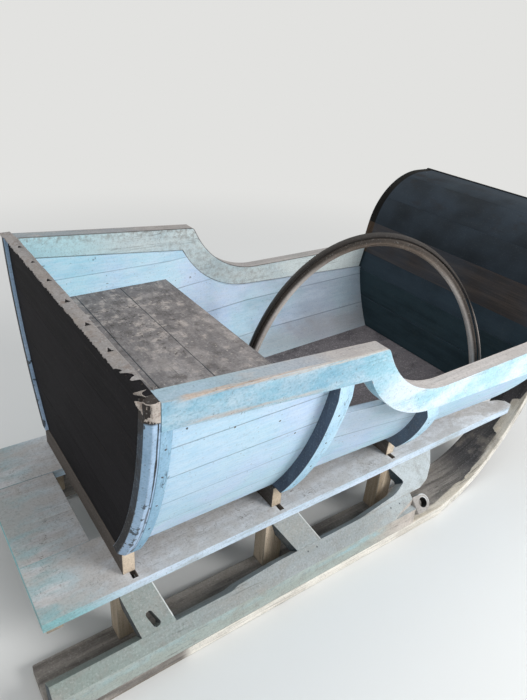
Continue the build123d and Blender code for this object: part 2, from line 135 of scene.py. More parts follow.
class OldWood:
    """Finish of an old board: its tone, wear, cracks and dust, from the board's own grain."""

    def __init__(self, name):
        self.material = bpy.data.materials.new(name)
        self.grain = start_tree(self.material, "ShaderNodeAttribute", "Vector")
        self.grain.socket.node.attribute_name = "grain"
        add = self.grain.node
        self.edge = add("ShaderNodeAttribute", {"attribute_name": "edge"}, None, "Fac")
        self.tone = add("ShaderNodeAttribute", {"attribute_name": "tone"}, None, "Fac")
        self.place = add("ShaderNodeTexCoord", None, None, "Object")
        facing = add("ShaderNodeNewGeometry", None, None, "Normal")
        self.facing = [add("ShaderNodeSeparateXYZ", None, {0: facing}, k) for k in range(3)]
        self.at = [add("ShaderNodeSeparateXYZ", None, {0: self.place}, k) for k in range(3)]
        self.up = self.facing[2]
        self.fibre = self.grain.streaks(7, 260, 5)
        self.streak = self.grain.streaks(2.2, 34, 4, 3.7)
        self.patch = self.grain.streaks(5, 11, 5, 9.1)
        self.speck = self.place.streaks(140, 140, 2, 1.3)
        checks = self.grain.streaks(1.6, 46, 2, 21.0)
        sparse = self.grain.streaks(2.6, 9, 2, 33.0)
        self.crack = (1 - abs(checks - 0.5).rise(0.0, 0.011)) * sparse.rise(0.50, 0.60)

    def level(self, patch, fibre=0.0, streak=0.0, edge=0.0):
        """Uneven level from shares of the board's patches, fibres, streaks and edges."""
        total = self.patch * patch
        for kind, share in ((self.fibre, fibre), (self.streak, streak), (self.edge, edge)):
            if share:
                total = total + kind * share
        return total

    def wood(self, pale, dark):
        """Bare wood between two tones."""
        level = self.fibre * 0.42 + self.streak * 0.58 + (self.tone - 0.5) * 0.22
        return level.rise(0.34, 0.68).mix(shade(dark), shade(pale))

    def paint(self, main, other, spread=0.5):
        """A brushed coat that has faded unevenly between two tones."""
        level = self.level(0.55, 0.15, streak=0.3) + (self.tone - 0.5) * 0.16
        return level.rise(spread - 0.14, spread + 0.14).mix(shade(main), shade(other))

    def finish(
        self, colour, dust, worn=0.0, bare=None,
        dusty=0.5, cracked=0.8, seam=0.0, rough=0.72, shine=0.35, gritty=1.0,
    ):
        """Wear to bare wood, cracks, specks, seams and dust over a coat, then its relief."""
        if worn:
            colour = worn.mix(colour, bare)
        soil = (self.speck.rise(0.67, 0.74) * 0.5).mix(colour, shade("4a4038"))
        crack = self.crack * cracked
        if seam:
            faint = self.grain.streaks(3, 3, 3, 17.0).rise(0.36, 0.60)
            grime = self.edge.rise(0.5, 1.0) * (0.45 + faint * 0.55) * seam
            soil = grime.mix(soil, shade("46525e"))
        soil = crack.mix(soil, shade("231f1c"))
        settled = self.patch * 0.5 + self.grain.streaks(14, 22, 5, 5.5) * 0.5
        lying = self.up.rise(0.35, 0.95) * settled.rise(0.62 - dusty * 0.4, 0.72 - dusty * 0.3)
        lying = lying * min(1.0, 0.45 + dusty * 0.5)
        soil = lying.mix(soil, shade(dust))
        grit = self.place.streaks(190, 190, 4, 2.6)
        soil = ((1 - grit.rise(0.30, 0.52)) * gritty * 0.24).mix(soil, shade("4a4643"))
        soil = (grit.rise(0.54, 0.76) * gritty * 0.17).mix(soil, shade("f0eeea"))
        height = self.fibre * 0.35 + self.streak * 0.3 - crack * 1.4 - worn * 0.35 + lying * 0.3
        sockets = {"Strength": 0.7, "Distance": 0.0011, "Height": height}
        relief = self.grain.node("ShaderNodeBump", None, sockets)
        roughness = rough + (self.fibre - 0.5) * 0.2 + lying * 0.15
        sockets = {"Base Color": soil, "Roughness": roughness, "Normal": relief}
        sockets["Specular IOR Level"] = shine
        surface = self.grain.node("ShaderNodeBsdfPrincipled", None, sockets)
        self.grain.node("ShaderNodeOutputMaterial", None, {"Surface": surface})
        return self.material


def grain_x(spot):
    """Grain along the sleigh."""
    return (spot.x, spot.y, spot.z)


def grain_y(spot):
    """Grain across the sleigh."""
    return (spot.y, spot.x, spot.z)


def grain_z(spot):
    """Grain from the ground up."""
    return (spot.z, spot.x, spot.y)


def mark(mesh, grains, edges=None, tones=None):
    """Marks each point with its place in the grain, its nearness to an arris, and its tone."""
    count = len(mesh.vertices)
    mesh.attributes.new("grain", "FLOAT_VECTOR", "POINT").data.foreach_set("vector", grains)
    for name, values in (("edge", edges or [0.0] * count), ("tone", tones or [0.5] * count)):
        mesh.attributes.new(name, "FLOAT", "POINT").data.foreach_set("value", values)


def stand(name, data):
    """Puts a new object in the scene."""
    made = bpy.data.objects.new(name, data)
    bpy.context.scene.collection.objects.link(made)
    return made


chance = random.Random(41)
CORNER = math.radians(28)
SHARP = math.radians(40)
BOARD_SHIFT = 40


def worked(node, grain, finish, worn=0.010, rounded=0.0018):
    """Piece in place of a sawn solid, with soft edges, and marked with its grain and edges."""
    piece = stand(node + "_wood", nodes[node].data.copy())
    mesh = piece.data
    shape = bmesh.new()
    shape.from_mesh(mesh)
    bmesh.ops.remove_doubles(shape, verts=shape.verts, dist=1e-5)
    flat = math.radians(0.1)
    bmesh.ops.dissolve_limit(shape, angle_limit=flat, verts=shape.verts, edges=shape.edges)

    def corners():
        inner = [e for e in shape.edges if len(e.link_faces) == 2]
        return [e for e in inner if e.calc_face_angle(0) > CORNER]

    lines = [(e.verts[0].co.copy(), e.verts[1].co.copy()) for e in corners()]
    for reach, profile in ((worn, 1.0), (rounded, 0.5)):
        bmesh.ops.bevel(
            shape, geom=corners(), offset=reach, segments=2, profile=profile,
            affect="EDGES", clamp_overlap=True,
        )
    board_of = {}
    boards = []
    for first in shape.verts:
        if first in board_of:
            continue
        shift = Vector([chance.uniform(0, BOARD_SHIFT) for k in range(3)])
        boards.append((shift, chance.random()))
        board_of[first] = len(boards) - 1
        waiting = [first]
        while waiting:
            vert = waiting.pop()
            for link in vert.link_edges:
                other = link.other_vert(vert)
                if other not in board_of:
                    board_of[other] = board_of[first]
                    waiting.append(other)
    grains = []
    edges = []
    tones = []
    for vert in shape.verts:
        offset, tone = boards[board_of[vert]]
        grains += [g + o for g, o in zip(grain(vert.co), offset)]
        tones.append(tone)
        nearest = worn
        for start, end in lines:
            run = end - start
            share = max(0.0, min(1.0, (vert.co - start).dot(run) / max(run.length_squared, 1e-12)))
            nearest = min(nearest, (start + run * share - vert.co).length)
        edges.append(1 - nearest / worn)
    bmesh.ops.triangulate(shape, faces=shape.faces)
    shape.to_mesh(mesh)
    shape.free()
    mark(mesh, grains, edges, tones)
    mesh.shade_smooth()
    mesh.set_sharp_from_angle(angle=SHARP)
    even = piece.modifiers.new("even", "WEIGHTED_NORMAL")
    even.keep_sharp = True
    mesh.materials.clear()
    mesh.materials.append(finish)
    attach(piece, "root")
    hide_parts(node)
    return piece


SIDES = {"left": 1, "right": -1}
BEND_RADIUS = 0.495
BEND_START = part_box("runner_right")[1].x - 0.512
PLANK_THICK = 0.037
PLANK_EDGE_Y = 0.452
TAPER_X = 0.734
TAPER_Y = 0.383
TAPER_BEHIND = 0.1683
TAPER_AHEAD = 0.0875


def along_runner(spot):
    """Grain that follows the plank round its bend."""
    if spot.x < BEND_START:
        return grain_x(spot)
    arm = spot - Vector((BEND_START, 0, BEND_RADIUS))
    turn = math.atan2(arm.x, -arm.z)
    return (BEND_START + turn * BEND_RADIUS, spot.y, BEND_RADIUS - math.hypot(arm.x, arm.z))


runner = OldWood("runner_wood")
outer_face = abs(runner.facing[1]).rise(0.75, 0.9)
coated = outer_face * runner.at[0].rise(-0.70, -0.66)
peeled = runner.level(0.5, 0.5).rise(0.46, 0.60)
behind_taper = TAPER_X - runner.at[0]
both_falls = (behind_taper * TAPER_BEHIND, behind_taper * TAPER_AHEAD)
outer_line = behind_taper.math("MAXIMUM", *both_falls) + TAPER_Y
from_rim = outer_line.math("MINIMUM", outer_line, PLANK_EDGE_Y) - abs(runner.at[1])
rim_width = 0.024 - 0.009 * runner.at[0].band(0.49, 0.56, 0.02)
rim_width = rim_width + 0.026 * runner.at[0].band(0.735, 0.83, 0.005)
rim_width = rim_width - 0.014 * runner.at[0].rise(0.83, 0.86)
rim_noise = (runner.streak - 0.5) * 0.03 + (runner.fibre - 0.5) * 0.012
raw_rim = 1 - (from_rim + rim_noise - rim_width).rise(-0.003, 0.003)
raw_rim = raw_rim * (runner.at[0] + runner.streak * 0.1).rise(0.10, 0.22) * (1 - outer_face)
raw_rim = raw_rim * runner.up.rise(0.0, 0.12)
# Painted shadow: the upturned front is painted dark grey, as the shade under the side board.
bend_shadow = (runner.at[0] + runner.patch * 0.12).rise(0.50, 0.66)
runner_dust = runner.level(0.5, streak=0.5).rise(0.42, 0.60)
runner_flat = runner_dust.mix(runner.wood("857f79", "5d5854"), shade("98928b"))
runner_top = bend_shadow.mix(runner_flat, runner.wood("504e4f", "333234"))
runner_sole = 1 - runner.up.rise(-0.15, 0.0)
runner_top = runner_sole.mix(runner_top, runner.wood("a3988a", "746b60"))
runner_top = (raw_rim * 0.9).mix(runner_top, runner.wood("e9e1d5", "cabfad"))
runner_colour = (coated * (1 - peeled * 0.45)).mix(runner_top, runner.paint("e8e4db", "d3cdc2"))
runner_finish = runner.finish(runner_colour, "857e75", dusty=0.3, cracked=0.6)
for side in SIDES:
    plank = worked("runner_" + side, along_runner, runner_finish, worn=0.010, rounded=0.003)
    for vert in plank.data.vertices:
        vert.co.z = max(0.0, vert.co.z)

sliver = OldWood("runner_sliver")
sliver_finish = sliver.finish(sliver.wood("e6dccd", "c4b7a3"), "b0a694", dusty=0.0)
SLIVERS = [
    ("runner_sliver_low", 0.522, -0.403, 0.034, 0.017, 0.0045),
    ("runner_sliver_high", 0.752, -0.352, -0.030, 0.007, 0.0060),
]
SLIVER_THICK = 0.0016
SLIVER_ROOT = 0.001
SLIVER_STEPS = 8
inner_radius = BEND_RADIUS - PLANK_THICK


def skin(shape, rings):
    """Closes a row of rings with the same number of points into one solid form."""
    count = len(rings[0])
    faces = []
    for low, high in zip(rings, rings[1:]):
        for k in range(count):
            after = (k + 1) % count
            faces.append(shape.faces.new((low[k], low[after], high[after], high[k])))
    faces.append(shape.faces.new(rings[0]))
    faces.append(shape.faces.new(rings[-1][::-1]))
    bmesh.ops.recalc_face_normals(shape, faces=faces)


def small_piece(name, shape, finish, grains=None, edges=None):
    """Piece shaped here point by point, with its marks and finish."""
    mesh = bpy.data.meshes.new(name)
    shape.to_mesh(mesh)
    shape.free()
    mark(mesh, grains or [c for v in mesh.vertices for c in v.co], edges)
    mesh.materials.append(finish)
    return stand(name, mesh)


for name, x, y, reach, lift, half_wide in SLIVERS:
    turn = math.asin((x - BEND_START) / inner_radius)
    forward = Vector((math.cos(turn), 0, math.sin(turn)))
    off = Vector((-math.sin(turn), 0, math.cos(turn)))
    root = Vector((BEND_START, y, BEND_RADIUS)) - off * inner_radius
    shape = bmesh.new()
    rings = []
    for k in range(SLIVER_STEPS + 1):
        share = k / SLIVER_STEPS
        spot = root + forward * reach * share + off * (lift * share**1.5 - SLIVER_ROOT)
        spot.y += 0.004 * math.sin(share * 3)
        half = half_wide * (1 - share) ** 0.6 + 0.0003
        ring = []
        for a, b in ((-half, 0.0), (half, 0.0), (half, SLIVER_THICK), (-half, SLIVER_THICK)):
            ring.append(shape.verts.new(spot + Vector((0, a, 0)) + off * b * (1.1 - share)))
        rings.append(ring)
    skin(shape, rings)
    piece = small_piece(name, shape, sliver_finish)
    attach(piece, "root")

# Tip crossbar: a square batten of bare pine, nailed across the two runner tips to keep
# them apart. Posts: short bare pine blocks on the runners that carry the side boards.

pine = OldWood("bare_pine")
pine_grey = pine.level(0.6, edge=0.4).rise(0.52, 0.72)
pine_wood = pine.up.rise(0.7, 0.9).mix(pine.wood("c2b29d", "94836d"), shade("453d37"))
pine_finish = pine.finish(pine_wood, "a39b8f", pine_grey * 0.7, shade("958d7f"), dusty=0.2)
bar = OldWood("bar_pine")
bar_finish = bar.finish(
    bar.wood("b3a695", "85786a"), "a39b8f", bar.edge * 0.2, shade("958d7f"), dusty=0.4
)
worked("tip_bar", grain_y, bar_finish)
for side in SIDES:
    worked("posts_" + side, grain_z, pine_finish)

# Side boards: long planks on the posts, tapered to a point at the front, with the step
# board between them at the rear. Grey and dusty on top, with blue paint on the edges.

board = OldWood("side_board_paint")
board_worn = board.level(0.5, 0.3, edge=0.15).rise(0.50, 0.66)
board_top = board.up.rise(0.6, 0.9)
near_rear = (board.at[0] + board.patch * 0.25).rise(-0.85, -0.62)
board_coat = near_rear.mix(board.paint("8fc0c4", "6fa3aa"), board.paint("d3dfee", "b5cbdb"))
rear_coat = (1 - near_rear) * board.level(0.6, streak=0.4).rise(0.40, 0.56) * 0.6
board_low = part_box("side_board_right")[0]
by_edge = (abs(board.at[1]) + board_low.y + board.patch * 0.03).rise(-0.035, 0.0)
rear_coat = rear_coat + (1 - rear_coat) * by_edge * (1 - near_rear) * 0.7
ahead_pale = (board.at[0] + board.patch * 0.3).rise(-0.1, 0.65)
board_grey = ahead_pale.mix(board.wood("d6d7d9", "b7b7b8"), board.wood("eceef1", "d2d4d7"))
board_mottle = board.place.streaks(26, 26, 6, 15.0).rise(0.44, 0.68)
board_grey = (board_mottle * 0.4).mix(board_grey, shade("aea69f"))
WALL_FOOT_Y = 0.335
by_wall = (WALL_FOOT_Y - abs(board.at[1])).rise(-0.02, 0.03) * (1 - ahead_pale)
thin_lines = 1 - abs(board.place.streaks(16, 24, 3, 44.0) - 0.5).rise(0.0, 0.010)
litter = thin_lines * board.place.streaks(9, 9, 3, 48.0).rise(0.50, 0.60)
board_grey = (litter * (0.18 + by_wall * 0.75)).mix(board_grey, shade("5f554c"))
crumbs = board.place.streaks(90, 90, 4, 52.0).rise(0.60, 0.70) * by_wall
board_grey = (crumbs * 0.5).mix(board_grey, shade("857b72"))
board_colour = (board_top * (1 - rear_coat)).mix(board_coat, board_grey)
MORTISE_Y = (0.2985, 0.3315)
MORTISE_X = (-0.9, 0.3)
in_mortise = abs(board.at[1]).band(*MORTISE_Y, 0.0006) * board.at[0].band(*MORTISE_X, 0.01)
in_mortise = in_mortise * (1 - board.up.rise(0.2, 0.5))
board_colour = in_mortise.mix(board_colour, shade("8d8279"))
board_worn = board_worn * (1 - board_top * 0.7) * (1 - in_mortise) * 0.6
board_finish = board.finish(
    board_colour, "bcb8b4", board_worn, shade("9a9388"), dusty=0.45, cracked=0.3
)
for side in SIDES:
    worked("side_board_" + side, grain_x, board_finish)
worked("step_board", grain_x, board_finish)
worked("step_bearer", grain_y, bar_finish)

# Cross beams: squared pine, nailed across the side boards. They carry the body, and their
# bare sawn ends stand out at the sides against long faces painted dark as shade under it.

beam = OldWood("beam_pine")
sawn_end = abs(beam.facing[1]).rise(0.7, 0.9)
# Painted shade: the long faces are painted dark, as under the body; the sawn ends stay pale.
beam_wood_and_shade = sawn_end.mix(beam.wood("564e48", "35302c"), beam.wood("d6c5b0", "b09f8a"))
beam_finish = beam.finish(beam_wood_and_shade, "8f887e", beam.edge * 0.1, shade("8b8072"), dusty=0.2)
for node in ("beam_rear", "beam_mid", "beam_front", "beam_dash"):
    worked(node, grain_y, beam_finish)

# Splayed side frames: braces, a front crook and a bevelled lower rail on each side, set at
# a slant to keep the sleigh from tipping over. Painted grey blue, and worn by snow, with
# painted shade on the faces that look back and painted highlights on the front arrises.

splay = OldWood("side_frame_paint")
splay_worn = splay.level(0.5, 0.3, edge=0.15).rise(0.46, 0.62)
upright = abs(splay.facing[1]).rise(0.85, 0.95)
turquoise = splay.level(0.6, streak=0.4).rise(0.36, 0.52) * upright
turquoise = turquoise * (splay.at[2] + splay.fibre * 0.012).band(0.080, 0.108, 0.007)
turquoise = turquoise * (0.35 + 0.40 * splay.at[0].band(-0.16, 0.03, 0.04))
turquoise = turquoise * (1 - splay.at[0].rise(0.02, 0.06))
turquoise = turquoise * splay.place.streaks(13, 22, 4, 95.0).rise(0.40, 0.56)
splay_back_shade = (-splay.facing[0]).rise(0.55, 0.85)
splay_rear = 1 - (splay.at[0] + splay.patch * 0.8).rise(-0.75, 0.05)
splay_ahead = (splay.at[0] + splay.patch * 0.2).rise(0.02, 0.26)
splay_coat = splay_rear.mix(splay.paint("989d9e", "878e8e"), splay.paint("8a958f", "76847e"))
splay_coat = splay_ahead.mix(splay_coat, splay.paint("b3babc", "a1a9aa"))
upright_coat = splay_ahead.mix(splay.paint("a7b0ac", "97a29c"), splay.paint("cbc2ba", "b6aca4"))
splay_colour = turquoise.mix(upright.mix(splay_coat, upright_coat), shade("94bac3"))
splay_mottle = splay.place.streaks(34, 34, 5, 61.0).rise(0.45, 0.68)
splay_colour = (splay_mottle * 0.35).mix(splay_colour, shade("84807a"))
# Pale worn arrises, lightened as a painted highlight where they face forward.
pale_arris_and_highlight = splay.edge.rise(0.70, 0.95) * splay.facing[0].rise(0.05, 0.40) * 0.8
splay_colour = pale_arris_and_highlight.mix(splay_colour, shade("dfe2e0"))
BRACE_HEAD_Y = 0.341
FRONT_ARRISES = ((-0.724, 0.241), (-0.2465, 0.4106))
down_slope = abs(splay.at[1]) - splay.at[2] - (BRACE_HEAD_Y - board_low.z)
down_slope = down_slope * math.sqrt(0.5)
# A thin pale line along each brace's front arris: wear and a painted highlight.
for head_x, lean in FRONT_ARRISES:
    behind_arris = down_slope * lean + head_x - splay.at[0]
    arris_wear_and_highlight = behind_arris.band(-0.004, 0.003, 0.0006) * (1 - down_slope.rise(0.098, 0.104))
    arris_wear_and_highlight = arris_wear_and_highlight * (1 - abs(splay.at[0] - head_x).rise(0.08, 0.10))
    splay_colour = (arris_wear_and_highlight * 0.7).mix(splay_colour, shade("dfe2e0"))
# Painted shade: the faces that look back are painted dark blue grey.
splay_colour = splay_back_shade.mix(splay_colour, shade("2e3f49"))
splay_finish = splay.finish(
    splay_colour, "a09c96", splay_worn * 0.35, shade("a09b92"), dusty=0.25, cracked=0.35
)
for side in SIDES:
    for kind in ("brace_rear_", "brace_mid_", "crook_"):
        worked(kind + side, grain_z, splay_finish)
    worked("lower_rail_" + side, grain_x, splay_finish)

# Shaft eyes: round lugs at the front ends of the lower rails, set at the same slant and bored
# for the pins that hold the shafts. Painted over and worn pale round the rim, with a painted
# highlight on the rim's upper front and painted shade in the bore.

eye = OldWood("shaft_eye_paint")
eye_low, eye_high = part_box("shaft_eye_right")
EYE_RADIUS = 0.029
EYE_BORE = 0.016
eye_middle = (eye_low + eye_high) / 2
eye_ahead = eye.at[0] - (eye_high.x - EYE_RADIUS)
eye_below = abs(eye.at[1]) - eye.at[2] + (eye_middle.y + eye_middle.z)
eye_below = eye_below * math.sqrt(0.5)
from_middle = eye_ahead * eye_ahead + eye_below * eye_below
# Painted shade: the bore is painted near black.
bore_shade = 1 - from_middle.rise((EYE_BORE + 0.0004) ** 2, (EYE_BORE + 0.0016) ** 2)
# Pale wear on the rim, kept to its upper front as a painted highlight.
upper_front = eye_ahead.rise(-0.015, 0.010) * (1 - eye_below.rise(-0.005, 0.015))
rim_wear_and_highlight = eye.edge.rise(0.3, 0.8) * upper_front
eye_colour = rim_wear_and_highlight.mix(eye.paint("aca7a2", "958f89"), eye.paint("dcdede", "c8caca"))
eye_colour = bore_shade.mix(eye_colour, shade("0f0d0c"))
eye_finish = eye.finish(eye_colour, "a8a49c", dusty=0.1)
for side in SIDES:
    worked("shaft_eye_" + side, grain_z, eye_finish, worn=0.007)

# Floor: five long boards laid side by side on the cross beams, between the walls, and
# nailed down. They are bare, dark and covered in dust.

floor = OldWood("floor_wood")
floor_wood = floor.wood("59555a", "363338")
floor_finish = floor.finish(floor_wood, "6c676a", dusty=0.6, seam=0.7, gritty=1.7)
worked("floor_boards", grain_x, floor_finish, worn=0.008)

# Body sides: five thin strakes a side, bent and nailed to the ribs edge to edge. They are
# painted sky blue inside and out, and the paint has thinned along the grain. Painted shade
# darkens the far wall towards the dash and the near wall under the rail's sweep.

wall = OldWood("strake_paint")
wall_worn = wall.level(0.45, 0.25, streak=0.3).rise(0.585, 0.70)
cold = wall.place.streaks(4.5, 4.5, 3, 12.0).rise(0.42, 0.62)
wall_colour = cold.mix(wall.paint("bcdcec", "a5cce0"), wall.paint("c6d9f1", "b0c9e6"))
rear_deep = 1 - (wall.at[0] + wall.patch * 0.2).rise(-0.62, -0.20)
rear_deep = rear_deep * wall.at[1].rise(-0.35, -0.40) * 0.8
wall_colour = rear_deep.mix(wall_colour, wall.paint("9fc6de", "b4d2e6"))
far_wall = wall.at[1].rise(0.25, 0.35)
far_tint = far_wall * (1 - (wall.at[0] + wall.patch * 0.3).rise(-0.45, -0.10))
wall_colour = (far_tint * 0.55).mix(wall_colour, wall.paint("a8dbe8", "93cde0"))
brushed = wall.grain.streaks(22, 130, 3, 8.0).rise(0.30, 0.72)
wall_colour = (brushed * 0.35).mix(wall_colour, shade("dde6f0"))
# Painted shade: the far wall is painted greyer and darker towards the dash.
far_wall_shade = far_wall * (wall.at[0] + wall.patch * 0.2).rise(-0.05, 0.50)
wall_colour = (far_wall_shade * 0.75).mix(wall_colour, wall.paint("8b949e", "7b8188"))
# Painted shadow: the near wall under the rail's sweep is painted grey.
sweep_shadow = (wall.at[0] + wall.patch * 0.15).band(-0.17, 0.19, 0.08)
sweep_shadow = sweep_shadow * (1 - wall.at[1].rise(-0.30, -0.20)) * wall.at[2].rise(0.42, 0.60)
wall_colour = (sweep_shadow * 0.55).mix(wall_colour, shade("98a4aa"))
by_floor = wall.place.streaks(14, 14, 5, 84.0) * 0.12 - wall.at[2]
by_floor = by_floor.rise(-0.40, -0.30) * wall.at[1].rise(0.0, 0.1)
wall_colour = (by_floor * 0.5).mix(wall_colour, shade("857d76"))
dark_spot = wall.place.streaks(52, 52, 2, 27.0).rise(0.72, 0.745)
wall_colour = (dark_spot * 0.6).mix(wall_colour, shade("5c5f62"))
wall_finish = wall.finish(
    wall_colour, "8f8b88", wall_worn * 0.5, shade("b3b3b4"),
    dusty=0.2, cracked=0.12, seam=0.5, gritty=0.5,
)
for side in SIDES:
    worked("strakes_" + side, grain_x, wall_finish, worn=0.005, rounded=0.0006)

# Ribs: sawn curved battens on the outside of the strakes, nailed through to them. The
# faces that look back are darker, as painted shade.

rib = OldWood("rib_paint")
rib_worn = rib.level(0.45, 0.3, edge=0.25).rise(0.55, 0.75)
# Painted shade on the faces that look back.
rib_back_shade = (-rib.facing[0]).rise(0.5, 0.85)
rib_colour = rib_back_shade.mix(rib.paint("bddcef", "9cc6de"), rib.paint("4a5a6c", "343f50"))
rib_finish = rib.finish(rib_colour, "8b857d", rib_worn * 0.4, shade("9a9288"), dusty=0.3)
for side in SIDES:
    worked("rib_mid_" + side, grain_z, rib_finish)
    worked("rib_front_" + side, grain_z, rib_finish)

# Corner posts and rear stiles: the posts close the body's rear corners, and are bluer on
# the chamfer. Long splits run down beside the joint, and the tops are grey end grain. The
# back faces and the top under the tin are painted near black, as shade.

stile = OldWood("stile_paint")
stile_worn = stile.level(0.45, 0.3, edge=0.2).rise(0.5, 0.7)
stile_coat = stile.paint("9dc2d9", "84abc6")
stile_finish = stile.finish(
    stile_coat, "8b857d", stile_worn * 0.4, shade("93918f"), dusty=0.2, seam=0.3
)
corner = OldWood("corner_post_paint")
corner_worn = corner.level(0.45, 0.35, edge=0.15).rise(0.50, 0.66)
chamfer = abs(corner.facing[1]).band(0.35, 0.86, 0.05)
corner_colour = chamfer.mix(corner.paint("a9c3dd", "92b1cf"), corner.paint("9cbbd6", "84a7c4"))
# Painted shade: the faces that look back are painted near black.
corner_back_shade = (-corner.facing[0]).rise(0.86, 0.96)
corner_colour = corner_back_shade.mix(corner_colour, shade("212226"))
corner_top = corner.up.rise(0.7, 0.9)
corner_colour = corner_top.mix(corner_colour, corner.wood("6e675e", "3f3a34"))
corner_sides = (1 - corner_top) * (1 - corner_back_shade)
SPLIT_X = -0.7715
split_drift = (corner.grain.streaks(5, 0, 2, 50.0) - 0.5) * 0.006
from_split = abs(corner.at[0] - SPLIT_X + split_drift)
split_wide = corner.grain.streaks(9, 0, 2, 71.0).rise(0.35, 0.65) * 0.0022 + 0.0003
splits = (1 - (from_split - split_wide).rise(0.0, 0.0008)) * corner_sides
corner_colour = splits.mix(corner_colour, shade("262b32"))
chip_noise = corner.place.streaks(46, 46, 3, 55.0) * 0.8 + corner.edge * 0.06
chips = (chip_noise - corner.at[2].rise(0.45, 0.70) * 0.09).rise(0.465, 0.485) * corner_sides
low_pale = (1 - (corner.at[2] + corner.patch * 0.2).rise(0.42, 0.78)) * (1 - corner_back_shade)
corner_colour = (low_pale * 0.7).mix(corner_colour, corner.paint("bccfe8", "a5bedb"))
soot = corner.place.streaks(9, 9, 4, 58.0).rise(0.46, 0.62) * 0.22
corner_colour = soot.mix(corner_colour, shade("5f7c95"))
corner_colour = (chips * 0.85).mix(corner_colour, shade("33363b"))
# Painted shade: the post's top is painted dark under the tin wrap.
shade_under_tin = corner.at[2].rise(0.832, 0.840) * (1 - corner.at[1].rise(-0.47, -0.44))
corner_colour = shade_under_tin.mix(corner_colour, shade("2a2420"))
corner_worn = corner_worn * (1 - shade_under_tin) * 0.3
corner_finish = corner.finish(
    corner_colour, "8b857d", corner_worn, shade("a19d99"), dusty=0.1, cracked=0.0, seam=0.2
)
POST_REACH = 0.4982
for side in SIDES:
    worked("stile_rear_" + side, grain_z, stile_finish, worn=0.005)
    post = worked("back_post_" + side, grain_z, corner_finish, worn=0.005)
    for vert in post.data.vertices:
        vert.co.y = max(-POST_REACH, min(POST_REACH, vert.co.y))

# Back panel: four level boards, one above the other, nailed to the wall ends. They are
# almost black outside, dark paint darkened further as painted shade, and pale blue inside.

back = OldWood("back_paint")
back_worn = back.level(0.5, 0.3, edge=0.2).rise(0.58, 0.74)
back_inside = back.facing[0].rise(0.3, 0.7)
# Dark paint on the rear face, made almost black as painted shade.
back_paint_and_shade = back_inside.mix(back.paint("1d1b1e", "151416"), shade("9fb9c6"))
back_finish = back.finish(
    back_paint_and_shade, "3f3b38", back_worn * 0.4, shade("2c2927"), dusty=0.2, shine=0.08, gritty=0.10
)
worked("back_boards", grain_y, back_finish)

# Top rails: one thick sawn plank a side that sweeps down in front of the seat. Blue and
# turquoise outside, dusty on top, and rubbed to tan wood along the outer arrises.

RAIL_REAR_X = -0.766
RAIL_TOP_Z = 0.882
RAIL_TOP_FALL = 0.0743
RAIL_FOOT_Z = 0.816
RAIL_FOOT_FALL = 0.0965
RAIL_OUTER_Y = 0.5
rail = OldWood("rail_paint")

# Faces and lines of the rails that the paint and the wear follow.
rail_x, rail_y, rail_z = rail.at
rail_top = rail.up.rise(0.45, 0.8)
rail_inside = 1 - abs(rail_y).rise(0.456, 0.462)
rail_outside = abs(rail_y).rise(0.472, 0.486)
far_side = rail_y.rise(-0.1, 0.1)
near_side = 1 - rail_y.rise(-0.01, 0.01)
below_top = RAIL_TOP_Z - (rail_x - RAIL_REAR_X) * RAIL_TOP_FALL - rail_z
above_foot = rail_z - RAIL_FOOT_Z + (rail_x - RAIL_REAR_X) * RAIL_FOOT_FALL

# Paint on the faces, in patches of two blues.
blotch = (rail.place.streaks(8, 12, 4, 3.0) * 0.6 + rail.patch * 0.4).rise(0.43, 0.60)
rail_ahead = (rail_x + rail.patch * 0.1).rise(-0.30, 0.0)
rail_coat = rail_ahead.mix(rail.paint("a6bfcd", "8aaabd"), rail.paint("d6e4ef", "c0d6e4"))
turquoise_coat = rail_ahead.mix(rail.paint("80b4c8", "6b9db6"), rail.paint("96d0dd", "80bfd0"))
rail_coat = (blotch * (0.85 - rail_ahead * 0.2)).mix(rail_coat, turquoise_coat)
fleck = rail.grain.streaks(60, 160, 2, 14.0).rise(0.56, 0.68)
rail_coat = (fleck * (1 - rail_ahead) * 0.45).mix(rail_coat, shade("6d93a8"))
pale_fleck = rail.grain.streaks(50, 210, 3, 19.0).rise(0.54, 0.72)
rail_coat = (pale_fleck * (0.16 + rail_ahead * 0.2)).mix(rail_coat, shade("e0e9f1"))
rail_coat = rail_inside.mix(rail_coat, rail.paint("d3dcdb", "b9cbd0"))
inner_tint = rail_inside * (1 - (rail_x + rail.patch * 0.4).rise(-0.45, -0.15))
rail_coat = (inner_tint * 0.6).mix(rail_coat, rail.paint("aedde6", "98cfdc"))
rail_thin = (rail.level(0.45, 0.25, streak=0.3) + rail_top * 0.16).rise(0.60, 0.74)
rail_colour = (rail_thin * 0.45).mix(rail_coat, shade("b5b3b0"))

# Faded and dirty upper face, and painted shadow along the far rail's inner lower arris.
bare_top = (rail_x + rail.patch * 0.25).rise(-0.55, -0.15)
top_coat = bare_top.mix(rail.paint("98adba", "88a4ae"), rail.wood("ada8a5", "918b87"))
top_coat = (rail_x.rise(-0.70, -0.45) * 0.6).mix(top_coat, rail.paint("999ea8", "a5a4a6"))
top_crest = (rail_x + rail.patch * 0.2).rise(-0.34, -0.14) * 0.6
top_coat = top_crest.mix(top_coat, rail.wood("c4b6ac", "a5978d"))
top_ahead = (rail_x + rail.patch * 0.2).rise(-0.12, 0.15) * 0.7
top_coat = top_ahead.mix(top_coat, rail.wood("d2cbc7", "b3aba6"))
top_coat = (far_side * 0.6).mix(top_coat, rail.wood("968c84", "6d645d"))
rail_colour = (rail_top * 0.9).mix(rail_colour, top_coat)
top_grime = rail.place.streaks(55, 55, 7, 81.0).rise(0.40, 0.70) * far_side * rail_inside
by_crest = 1 - below_top.rise(0.004, 0.045)
swept = rail_x.band(-0.30, 0.20, 0.12)
